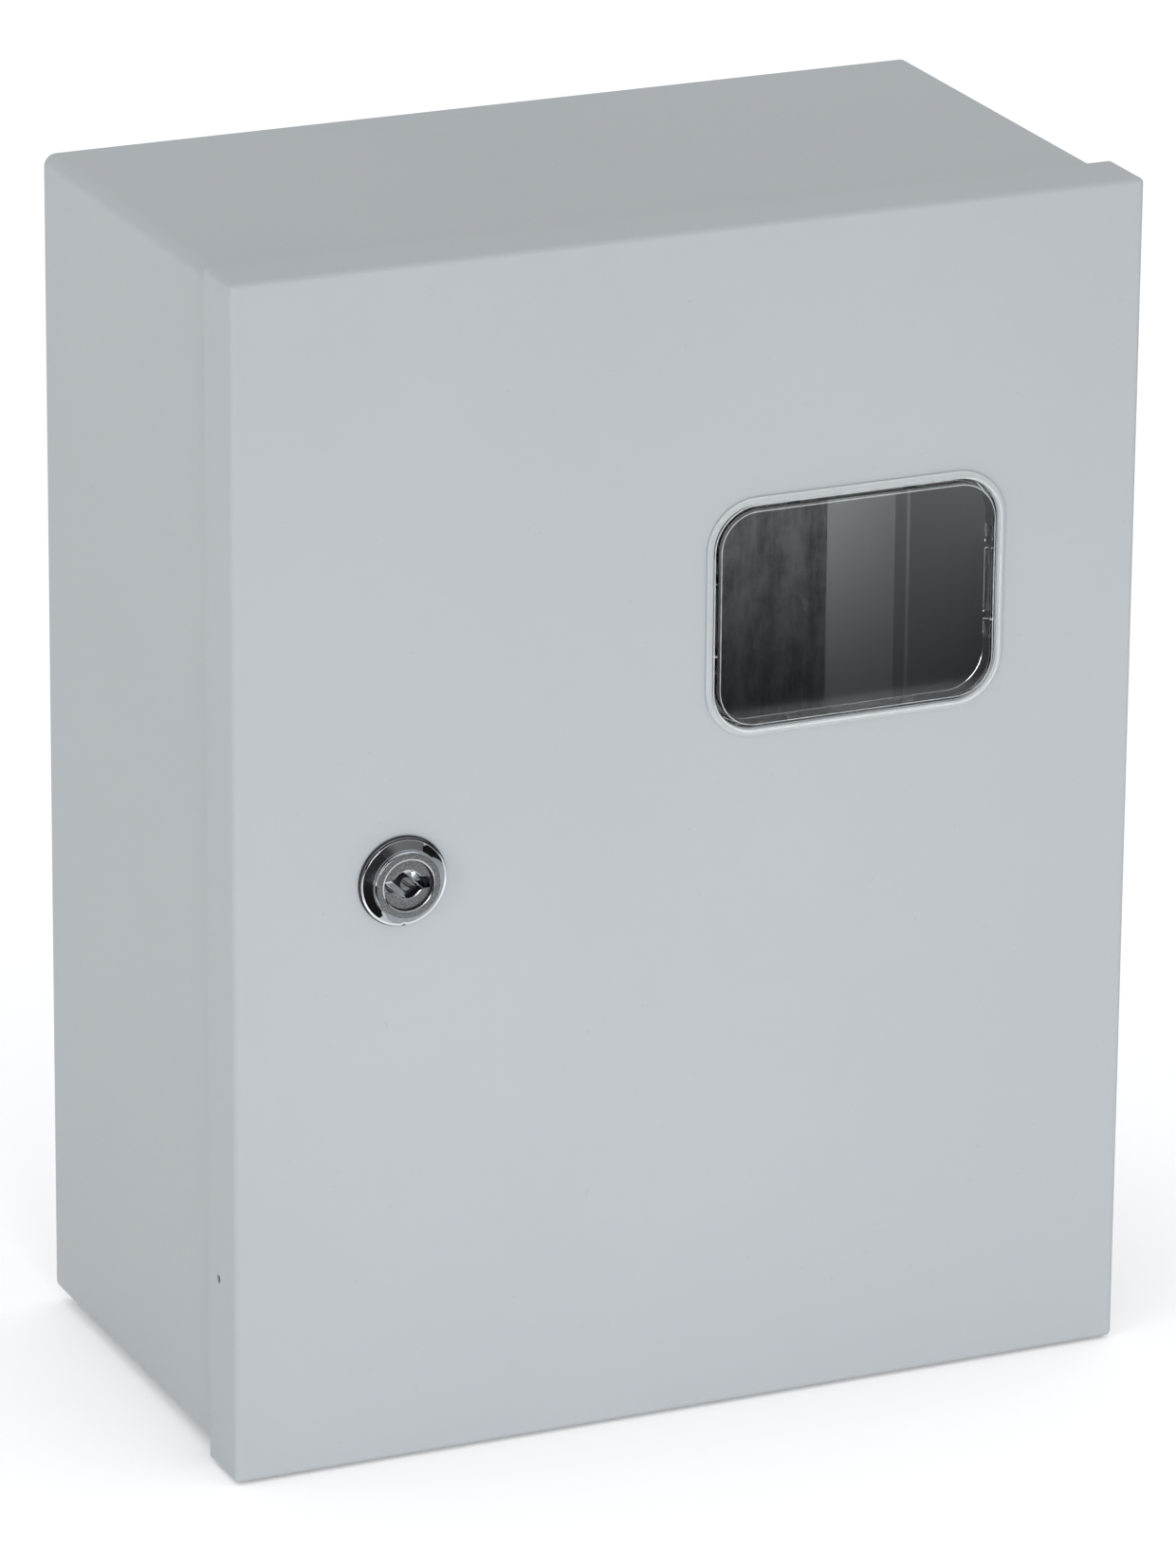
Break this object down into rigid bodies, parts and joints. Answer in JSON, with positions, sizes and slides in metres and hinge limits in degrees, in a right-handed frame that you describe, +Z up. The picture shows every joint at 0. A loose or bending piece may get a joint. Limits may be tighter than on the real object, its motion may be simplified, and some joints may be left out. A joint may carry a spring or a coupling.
{
  "type": "switchboard cabinet",
  "caption": "Wall-mounted sheet-steel switchboard cabinet with a hinged flanged door, a clear snap-in inspection window and a quarter-turn double-bit lock.",
  "frame": {"origin": "centre of the four wall holes on the rear face", "axes": "+Z up, the door faces -Y, the wall is the plane y = 0"},
  "size_m": [0.31, 0.1706, 0.3954],
  "materials": {
    "painted_steel": "fine-textured light grey powder coat, semi-matt",
    "galvanised_sheet": "galvanised, faintly clouded",
    "zinc_plated_steel": "bright zinc plate",
    "chromed_zinc": "polished chrome plate",
    "brass": "drawn brass",
    "black_rubber": "matt black",
    "sealing_foam": "closed-cell foam",
    "clear_silicone": "milky translucent silicone",
    "clear_plastic": "clear polished plastic",
    "blue_plastic": "moulded blue plastic"
  },
  "bodies": {
    "enclosure": {"body_shell": "painted_steel", "rim_frame": "painted_steel", "back_panel": "painted_steel", "mounting_plate": "galvanised_sheet", "plate_studs": "zinc_plated_steel", "plate_spacers": "zinc_plated_steel", "plate_washers": "zinc_plated_steel", "plate_nuts": "zinc_plated_steel", "din_rail": "galvanised_sheet", "rail_screws": "zinc_plated_steel", "ground_bar": "brass", "ground_terminal_screws": "zinc_plated_steel", "ground_bar_bolts": "zinc_plated_steel", "ground_bar_posts": "zinc_plated_steel", "neutral_bar": "brass", "neutral_terminal_screws": "zinc_plated_steel", "neutral_bar_bolts": "zinc_plated_steel", "neutral_insulator_left": "blue_plastic", "neutral_insulator_right": "blue_plastic", "insulator_screws": "zinc_plated_steel", "body_earth_stud": "zinc_plated_steel", "body_earth_washer": "zinc_plated_steel", "body_earth_nut": "zinc_plated_steel", "cable_grommet_left": "black_rubber", "cable_grommet_middle": "black_rubber", "cable_grommet_right": "black_rubber", "hinge_bracket_upper": "painted_steel", "hinge_bracket_lower": "painted_steel", "hinge_pin_upper": "zinc_plated_steel", "hinge_pin_lower": "zinc_plated_steel"},
    "door": {"door_panel": "painted_steel", "door_gasket": "sealing_foam", "window_pane": "clear_plastic", "window_seal": "clear_silicone", "door_earth_stud": "zinc_plated_steel", "door_earth_washer": "zinc_plated_steel", "door_earth_nut": "zinc_plated_steel", "lock_housing": "chromed_zinc", "lock_seal": "black_rubber", "lock_nut": "zinc_plated_steel", "hinge_leaf_upper": "painted_steel", "hinge_leaf_lower": "painted_steel"},
    "lock": {"lock_rotor": "chromed_zinc", "lock_cam": "zinc_plated_steel", "cam_washer": "zinc_plated_steel", "cam_screw": "zinc_plated_steel"}
  },
  "joints": [
    {"name": "door_hinge", "type": "hinge", "parent": "enclosure", "child": "door", "pos_m": [0.1488, -0.1515, 0], "axis": [0, 0, 1], "range_deg": [0, 110]},
    {"name": "lock_turn", "type": "hinge", "parent": "door", "child": "lock", "pos_m": [-0.0985, -0.165, -0.0019], "axis": [0, 1, 0], "range_deg": [0, 90]}
  ]
}
